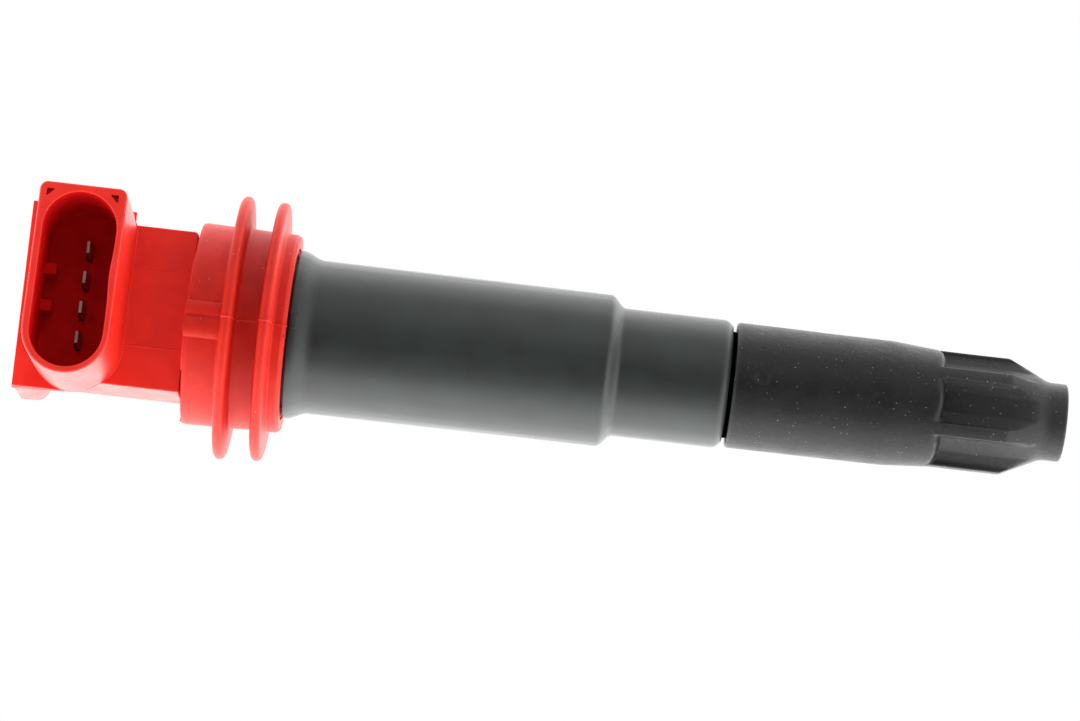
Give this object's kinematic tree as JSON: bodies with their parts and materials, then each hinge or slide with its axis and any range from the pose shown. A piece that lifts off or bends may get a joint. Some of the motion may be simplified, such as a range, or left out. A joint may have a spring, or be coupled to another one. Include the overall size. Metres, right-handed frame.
{
  "type": "ignition coil",
  "caption": "Pencil ignition coil: red head with a side connector, two-lipped seal collar, stepped sleeve, and a ribbed rubber boot that pushes onto a spark plug.",
  "frame": {"origin": "on the coil's axis, on the head's flat top face", "axes": "+Z along the coil's axis from the plug end towards the head, -Y out of the connector's mouth, +X to the right seen from the connector's side"},
  "size_m": [0.044, 0.0488, 0.1734],
  "materials": {
    "head_plastic": "satin moulded red nylon",
    "collar_silicone": "soft matte red silicone",
    "sleeve_plastic": "satin dark grey moulded sleeve",
    "tower_plastic": "satin dark insulating plastic",
    "boot_rubber": "matte black rubber with a dusting of talc",
    "terminal_metal": "bright tin plate on copper alloy",
    "copper_wire": "enamelled copper wire",
    "bobbin_plastic": "unfilled pale bobbin plastic",
    "core_steel": "rolled silicon steel",
    "magnet": "sintered magnet",
    "potting_resin": "cast epoxy",
    "board_ceramic": "bare alumina",
    "chip_case": "moulded epoxy case",
    "capacitor_ceramic": "glazed ceramic",
    "resistor_ceramic": "glazed ceramic rod",
    "heat_spreader_metal": "rolled aluminium",
    "spring_steel": "drawn stainless wire"
  },
  "bodies": {
    "coil_body": {"head_housing": "head_plastic", "head_potting": "potting_resin", "terminal_1": "terminal_metal", "terminal_2": "terminal_metal", "terminal_3": "terminal_metal", "terminal_4": "terminal_metal", "driver_board": "board_ceramic", "power_transistor": "chip_case", "heat_spreader": "heat_spreader_metal", "control_chip": "chip_case", "noise_capacitor": "capacitor_ceramic", "high_voltage_diode": "chip_case", "primary_lead_1": "copper_wire", "primary_lead_2": "copper_wire", "secondary_lead": "copper_wire", "outer_sleeve": "sleeve_plastic", "flux_shield": "core_steel", "primary_bobbin": "bobbin_plastic", "primary_winding": "copper_wire", "secondary_bobbin": "bobbin_plastic", "secondary_winding": "copper_wire", "laminated_core": "core_steel", "core_magnet_top": "magnet", "core_magnet_bottom": "magnet", "core_cushion_top": "collar_silicone", "core_cushion_bottom": "collar_silicone", "high_voltage_tower": "tower_plastic", "high_voltage_terminal": "terminal_metal", "suppression_resistor": "resistor_ceramic"},
    "spring": {"contact_spring": "spring_steel"},
    "boot": {"plug_boot": "boot_rubber"},
    "collar": {"seal_collar": "collar_silicone"}
  },
  "joints": [
    {"name": "boot_pull", "type": "slide", "parent": "coil_body", "child": "boot", "axis": [0, 0, -1], "range_m": [0, 0.06], "stiffness_N_per_m": 20, "springref_m": -0.02},
    {"name": "collar_pull", "type": "slide", "parent": "coil_body", "child": "collar", "axis": [0, 0, -1], "range_m": [0, 0.155], "stiffness_N_per_m": 15, "springref_m": -0.02},
    {"name": "spring_press", "type": "slide", "parent": "coil_body", "child": "spring", "axis": [0, 0, 1], "range_m": [0, 0.004], "stiffness_N_per_m": 150, "springref_m": -0.004, "deforming": ["contact_spring"]}
  ]
}
